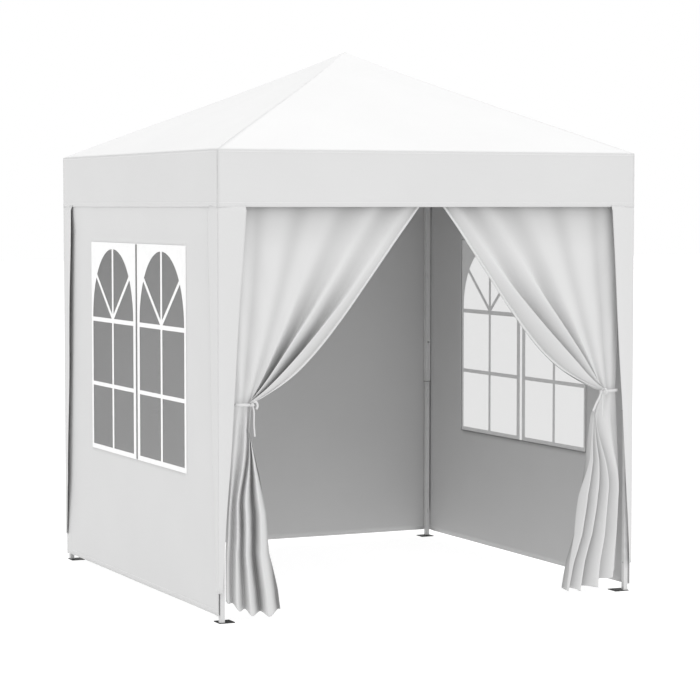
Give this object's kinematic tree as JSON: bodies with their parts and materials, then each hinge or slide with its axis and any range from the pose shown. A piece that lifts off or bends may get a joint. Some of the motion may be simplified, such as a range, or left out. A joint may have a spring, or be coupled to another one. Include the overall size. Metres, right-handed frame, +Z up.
{
  "type": "pop-up gazebo",
  "caption": "Square pop-up gazebo: scissor-folding frame, telescopic legs, peaked canopy with valance, side walls and tied-back door curtains.",
  "frame": {"origin": "middle of the floor under the peak", "axes": "+Z up, the open door side faces -Y, the back wall is at +Y"},
  "size_m": [2, 2, 2.4426],
  "materials": {
    "frame_white": "satin white powder coat on thin steel tube",
    "foot_black": "black painted pressed steel",
    "nylon_grey": "moulded nylon, fine grain",
    "button_steel": "plated steel",
    "canopy_cloth": "coated woven polyester, white",
    "wall_cloth": "coated woven polyester, white, with clear window film",
    "curtain_cloth": "light woven polyester, white, slightly translucent"
  },
  "bodies": {
    "frame_front": {"connector_front": "nylon_grey", "valance": "canopy_cloth"},
    "hub": {"central_hub": "nylon_grey", "mast": "frame_white"},
    "arm_front": {"arm_front": "frame_white"},
    "roof_front": {"roof_front": "canopy_cloth"},
    "bar_front_left_down": {"truss_front_left_down": "frame_white"},
    "bar_front_left_up": {"truss_front_left_up": "frame_white"},
    "bar_front_right_down": {"truss_front_right_down": "frame_white"},
    "bar_front_right_up": {"truss_front_right_up": "frame_white"},
    "leg_front_left": {"upper_leg_front_left": "frame_white", "curtain_left": "curtain_cloth"},
    "lower_leg_front_left": {"lower_leg_front_left": "frame_white", "foot_front_left": "foot_black"},
    "slider_front_left": {"slider_front_left": "nylon_grey"},
    "latch_front_left": {"slider_latch_front_left": "button_steel"},
    "button_front_left": {"leg_button_front_left": "button_steel"},
    "arm_right": {"arm_right": "frame_white"},
    "frame_right": {"connector_right": "nylon_grey", "wall_right": "wall_cloth"},
    "roof_right": {"roof_right": "canopy_cloth"},
    "bar_right_left_down": {"truss_right_left_down": "frame_white"},
    "bar_right_left_up": {"truss_right_left_up": "frame_white"},
    "bar_right_right_down": {"truss_right_right_down": "frame_white"},
    "bar_right_right_up": {"truss_right_right_up": "frame_white"},
    "leg_front_right": {"upper_leg_front_right": "frame_white", "curtain_right": "curtain_cloth"},
    "lower_leg_front_right": {"lower_leg_front_right": "frame_white", "foot_front_right": "foot_black"},
    "slider_front_right": {"slider_front_right": "nylon_grey"},
    "latch_front_right": {"slider_latch_front_right": "button_steel"},
    "button_front_right": {"leg_button_front_right": "button_steel"},
    "arm_back": {"arm_back": "frame_white"},
    "frame_back": {"connector_back": "nylon_grey", "wall_back": "wall_cloth"},
    "roof_back": {"roof_back": "canopy_cloth"},
    "bar_back_left_down": {"truss_back_left_down": "frame_white"},
    "bar_back_left_up": {"truss_back_left_up": "frame_white"},
    "bar_back_right_down": {"truss_back_right_down": "frame_white"},
    "bar_back_right_up": {"truss_back_right_up": "frame_white"},
    "leg_back_right": {"upper_leg_back_right": "frame_white"},
    "lower_leg_back_right": {"lower_leg_back_right": "frame_white", "foot_back_right": "foot_black"},
    "slider_back_right": {"slider_back_right": "nylon_grey"},
    "latch_back_right": {"slider_latch_back_right": "button_steel"},
    "button_back_right": {"leg_button_back_right": "button_steel"},
    "arm_left": {"arm_left": "frame_white"},
    "frame_left": {"connector_left": "nylon_grey", "wall_left": "wall_cloth"},
    "roof_left": {"roof_left": "canopy_cloth"},
    "bar_left_left_down": {"truss_left_left_down": "frame_white"},
    "bar_left_left_up": {"truss_left_left_up": "frame_white"},
    "bar_left_right_down": {"truss_left_right_down": "frame_white"},
    "bar_left_right_up": {"truss_left_right_up": "frame_white"},
    "leg_back_left": {"upper_leg_back_left": "frame_white"},
    "lower_leg_back_left": {"lower_leg_back_left": "frame_white", "foot_back_left": "foot_black"},
    "slider_back_left": {"slider_back_left": "nylon_grey"},
    "latch_back_left": {"slider_latch_back_left": "button_steel"},
    "button_back_left": {"leg_button_back_left": "button_steel"}
  },
  "joints": [
    {"name": "fold", "type": "hinge", "parent": "frame_front", "child": "arm_front", "pos_m": [0, -0.953, 1.94], "axis": [-1, 0, 0], "range_deg": [0, 75], "deforming": ["roof_front", "roof_right", "roof_back", "roof_left", "valance", "wall_right", "wall_back", "wall_left", "curtain_left", "curtain_right"]},
    {"name": "hub_turn", "type": "hinge", "parent": "arm_front", "child": "hub", "pos_m": [0, -0.027, 1.76], "axis": [1, 0, 0], "range_deg": [0, 75]},
    {"name": "arm_right_turn", "type": "hinge", "parent": "hub", "child": "arm_right", "pos_m": [0.027, 0, 1.76], "axis": [0, -1, 0], "range_deg": [0, 75]},
    {"name": "frame_right_turn", "type": "hinge", "parent": "arm_right", "child": "frame_right", "pos_m": [0.953, 0, 1.94], "axis": [0, 1, 0], "range_deg": [0, 75]},
    {"name": "arm_back_turn", "type": "hinge", "parent": "hub", "child": "arm_back", "pos_m": [0, 0.027, 1.76], "axis": [1, 0, 0], "range_deg": [0, 75]},
    {"name": "frame_back_turn", "type": "hinge", "parent": "arm_back", "child": "frame_back", "pos_m": [0, 0.953, 1.94], "axis": [-1, 0, 0], "range_deg": [0, 75]},
    {"name": "arm_left_turn", "type": "hinge", "parent": "hub", "child": "arm_left", "pos_m": [-0.027, 0, 1.76], "axis": [0, 1, 0], "range_deg": [0, 75]},
    {"name": "frame_left_turn", "type": "hinge", "parent": "arm_left", "child": "frame_left", "pos_m": [-0.953, 0, 1.94], "axis": [0, -1, 0], "range_deg": [0, 75]},
    {"name": "bar_front_left_down_turn", "type": "hinge", "parent": "frame_front", "child": "bar_front_left_down", "pos_m": [0, -0.978, 1.94], "axis": [0, -1, 0], "range_deg": [0, 75]},
    {"name": "bar_front_right_down_turn", "type": "hinge", "parent": "frame_front", "child": "bar_front_right_down", "pos_m": [0, -0.978, 1.94], "axis": [0, 1, 0], "range_deg": [0, 75]},
    {"name": "bar_front_left_scissor", "type": "hinge", "parent": "bar_front_left_down", "child": "bar_front_left_up", "pos_m": [-0.463, -0.978, 1.85], "axis": [0, 1, 0], "range_deg": [0, 150]},
    {"name": "bar_front_right_scissor", "type": "hinge", "parent": "bar_front_right_down", "child": "bar_front_right_up", "pos_m": [0.463, -0.978, 1.85], "axis": [0, -1, 0], "range_deg": [0, 150]},
    {"name": "roof_front_swing", "type": "hinge", "parent": "frame_front", "child": "roof_front", "pos_m": [0, -0.9985, 1.963], "axis": [-1, 0, 0], "range_deg": [0, 114]},
    {"name": "bar_right_left_down_turn", "type": "hinge", "parent": "frame_right", "child": "bar_right_left_down", "pos_m": [0.978, 0, 1.94], "axis": [1, 0, 0], "range_deg": [0, 75]},
    {"name": "bar_right_right_down_turn", "type": "hinge", "parent": "frame_right", "child": "bar_right_right_down", "pos_m": [0.978, 0, 1.94], "axis": [-1, 0, 0], "range_deg": [0, 75]},
    {"name": "bar_right_left_scissor", "type": "hinge", "parent": "bar_right_left_down", "child": "bar_right_left_up", "pos_m": [0.978, -0.463, 1.85], "axis": [-1, 0, 0], "range_deg": [0, 150]},
    {"name": "bar_right_right_scissor", "type": "hinge", "parent": "bar_right_right_down", "child": "bar_right_right_up", "pos_m": [0.978, 0.463, 1.85], "axis": [1, 0, 0], "range_deg": [0, 150]},
    {"name": "roof_right_swing", "type": "hinge", "parent": "frame_right", "child": "roof_right", "pos_m": [0.9985, 0, 1.963], "axis": [0, -1, 0], "range_deg": [0, 114]},
    {"name": "bar_back_left_down_turn", "type": "hinge", "parent": "frame_back", "child": "bar_back_left_down", "pos_m": [0, 0.978, 1.94], "axis": [0, 1, 0], "range_deg": [0, 75]},
    {"name": "bar_back_right_down_turn", "type": "hinge", "parent": "frame_back", "child": "bar_back_right_down", "pos_m": [0, 0.978, 1.94], "axis": [0, -1, 0], "range_deg": [0, 75]},
    {"name": "bar_back_left_scissor", "type": "hinge", "parent": "bar_back_left_down", "child": "bar_back_left_up", "pos_m": [0.463, 0.978, 1.85], "axis": [0, -1, 0], "range_deg": [0, 150]},
    {"name": "bar_back_right_scissor", "type": "hinge", "parent": "bar_back_right_down", "child": "bar_back_right_up", "pos_m": [-0.463, 0.978, 1.85], "axis": [0, 1, 0], "range_deg": [0, 150]},
    {"name": "roof_back_swing", "type": "hinge", "parent": "frame_back", "child": "roof_back", "pos_m": [0, 0.9985, 1.963], "axis": [1, 0, 0], "range_deg": [0, 114]},
    {"name": "bar_left_left_down_turn", "type": "hinge", "parent": "frame_left", "child": "bar_left_left_down", "pos_m": [-0.978, 0, 1.94], "axis": [-1, 0, 0], "range_deg": [0, 75]},
    {"name": "bar_left_right_down_turn", "type": "hinge", "parent": "frame_left", "child": "bar_left_right_down", "pos_m": [-0.978, 0, 1.94], "axis": [1, 0, 0], "range_deg": [0, 75]},
    {"name": "bar_left_left_scissor", "type": "hinge", "parent": "bar_left_left_down", "child": "bar_left_left_up", "pos_m": [-0.978, 0.463, 1.85], "axis": [1, 0, 0], "range_deg": [0, 150]},
    {"name": "bar_left_right_scissor", "type": "hinge", "parent": "bar_left_right_down", "child": "bar_left_right_up", "pos_m": [-0.978, -0.463, 1.85], "axis": [-1, 0, 0], "range_deg": [0, 150]},
    {"name": "roof_left_swing", "type": "hinge", "parent": "frame_left", "child": "roof_left", "pos_m": [-0.9985, 0, 1.963], "axis": [0, 1, 0], "range_deg": [0, 114]},
    {"name": "leg_front_left_turn", "type": "hinge", "parent": "bar_front_left_up", "child": "leg_front_left", "pos_m": [-0.926, -0.978, 1.94], "axis": [0, -1, 0], "range_deg": [0, 75]},
    {"name": "leg_front_right_turn", "type": "hinge", "parent": "bar_front_right_up", "child": "leg_front_right", "pos_m": [0.926, -0.978, 1.94], "axis": [0, 1, 0], "range_deg": [0, 75]},
    {"name": "slider_front_left_turn", "type": "hinge", "parent": "bar_front_left_down", "child": "slider_front_left", "pos_m": [-0.926, -0.978, 1.76], "axis": [0, 1, 0], "range_deg": [0, 75]},
    {"name": "slider_front_right_turn", "type": "hinge", "parent": "bar_front_right_down", "child": "slider_front_right", "pos_m": [0.926, -0.978, 1.76], "axis": [0, -1, 0], "range_deg": [0, 75]},
    {"name": "leg_back_right_turn", "type": "hinge", "parent": "bar_back_left_up", "child": "leg_back_right", "pos_m": [0.926, 0.978, 1.94], "axis": [0, 1, 0], "range_deg": [0, 75]},
    {"name": "leg_back_left_turn", "type": "hinge", "parent": "bar_back_right_up", "child": "leg_back_left", "pos_m": [-0.926, 0.978, 1.94], "axis": [0, -1, 0], "range_deg": [0, 75]},
    {"name": "slider_back_right_turn", "type": "hinge", "parent": "bar_back_left_down", "child": "slider_back_right", "pos_m": [0.926, 0.978, 1.76], "axis": [0, -1, 0], "range_deg": [0, 75]},
    {"name": "slider_back_left_turn", "type": "hinge", "parent": "bar_back_right_down", "child": "slider_back_left", "pos_m": [-0.926, 0.978, 1.76], "axis": [0, 1, 0], "range_deg": [0, 75]},
    {"name": "leg_front_left_slide", "type": "slide", "parent": "leg_front_left", "child": "lower_leg_front_left", "axis": [0, 0, 1], "range_m": [0, 0.74]},
    {"name": "leg_button_front_left_press", "type": "slide", "parent": "leg_front_left", "child": "button_front_left", "axis": [0, -1, 0], "range_m": [0, 0.003], "stiffness_N_per_m": 400, "springref_m": -0.002},
    {"name": "latch_front_left_press", "type": "slide", "parent": "slider_front_left", "child": "latch_front_left", "axis": [0, -1, 0], "range_m": [0, 0.0034], "stiffness_N_per_m": 400, "springref_m": -0.002},
    {"name": "leg_front_right_slide", "type": "slide", "parent": "leg_front_right", "child": "lower_leg_front_right", "axis": [0, 0, 1], "range_m": [0, 0.74]},
    {"name": "leg_button_front_right_press", "type": "slide", "parent": "leg_front_right", "child": "button_front_right", "axis": [1, 0, 0], "range_m": [0, 0.003], "stiffness_N_per_m": 400, "springref_m": -0.002},
    {"name": "latch_front_right_press", "type": "slide", "parent": "slider_front_right", "child": "latch_front_right", "axis": [1, 0, 0], "range_m": [0, 0.0034], "stiffness_N_per_m": 400, "springref_m": -0.002},
    {"name": "leg_back_right_slide", "type": "slide", "parent": "leg_back_right", "child": "lower_leg_back_right", "axis": [0, 0, 1], "range_m": [0, 0.74]},
    {"name": "leg_button_back_right_press", "type": "slide", "parent": "leg_back_right", "child": "button_back_right", "axis": [0, 1, 0], "range_m": [0, 0.003], "stiffness_N_per_m": 400, "springref_m": -0.002},
    {"name": "latch_back_right_press", "type": "slide", "parent": "slider_back_right", "child": "latch_back_right", "axis": [0, 1, 0], "range_m": [0, 0.0034], "stiffness_N_per_m": 400, "springref_m": -0.002},
    {"name": "leg_back_left_slide", "type": "slide", "parent": "leg_back_left", "child": "lower_leg_back_left", "axis": [0, 0, 1], "range_m": [0, 0.74]},
    {"name": "leg_button_back_left_press", "type": "slide", "parent": "leg_back_left", "child": "button_back_left", "axis": [-1, 0, 0], "range_m": [0, 0.003], "stiffness_N_per_m": 400, "springref_m": -0.002},
    {"name": "latch_back_left_press", "type": "slide", "parent": "slider_back_left", "child": "latch_back_left", "axis": [-1, 0, 0], "range_m": [0, 0.0034], "stiffness_N_per_m": 400, "springref_m": -0.002}
  ],
  "couplings": [
    {"joint": "hub_turn", "follows": "fold", "ratio": 1},
    {"joint": "arm_right_turn", "follows": "fold", "ratio": 1},
    {"joint": "frame_right_turn", "follows": "fold", "ratio": 1},
    {"joint": "arm_back_turn", "follows": "fold", "ratio": 1},
    {"joint": "frame_back_turn", "follows": "fold", "ratio": 1},
    {"joint": "arm_left_turn", "follows": "fold", "ratio": 1},
    {"joint": "frame_left_turn", "follows": "fold", "ratio": 1},
    {"joint": "bar_front_left_down_turn", "follows": "fold", "ratio": 1},
    {"joint": "bar_front_right_down_turn", "follows": "fold", "ratio": 1},
    {"joint": "bar_front_left_scissor", "follows": "fold", "ratio": 2},
    {"joint": "bar_front_right_scissor", "follows": "fold", "ratio": 2},
    {"joint": "roof_front_swing", "follows": "fold", "ratio": 1.52},
    {"joint": "bar_right_left_down_turn", "follows": "fold", "ratio": 1},
    {"joint": "bar_right_right_down_turn", "follows": "fold", "ratio": 1},
    {"joint": "bar_right_left_scissor", "follows": "fold", "ratio": 2},
    {"joint": "bar_right_right_scissor", "follows": "fold", "ratio": 2},
    {"joint": "roof_right_swing", "follows": "fold", "ratio": 1.52},
    {"joint": "bar_back_left_down_turn", "follows": "fold", "ratio": 1},
    {"joint": "bar_back_right_down_turn", "follows": "fold", "ratio": 1},
    {"joint": "bar_back_left_scissor", "follows": "fold", "ratio": 2},
    {"joint": "bar_back_right_scissor", "follows": "fold", "ratio": 2},
    {"joint": "roof_back_swing", "follows": "fold", "ratio": 1.52},
    {"joint": "bar_left_left_down_turn", "follows": "fold", "ratio": 1},
    {"joint": "bar_left_right_down_turn", "follows": "fold", "ratio": 1},
    {"joint": "bar_left_left_scissor", "follows": "fold", "ratio": 2},
    {"joint": "bar_left_right_scissor", "follows": "fold", "ratio": 2},
    {"joint": "roof_left_swing", "follows": "fold", "ratio": 1.52},
    {"joint": "leg_front_left_turn", "follows": "fold", "ratio": 1},
    {"joint": "leg_front_right_turn", "follows": "fold", "ratio": 1},
    {"joint": "slider_front_left_turn", "follows": "fold", "ratio": 1},
    {"joint": "slider_front_right_turn", "follows": "fold", "ratio": 1},
    {"joint": "leg_back_right_turn", "follows": "fold", "ratio": 1},
    {"joint": "leg_back_left_turn", "follows": "fold", "ratio": 1},
    {"joint": "slider_back_right_turn", "follows": "fold", "ratio": 1},
    {"joint": "slider_back_left_turn", "follows": "fold", "ratio": 1}
  ]
}
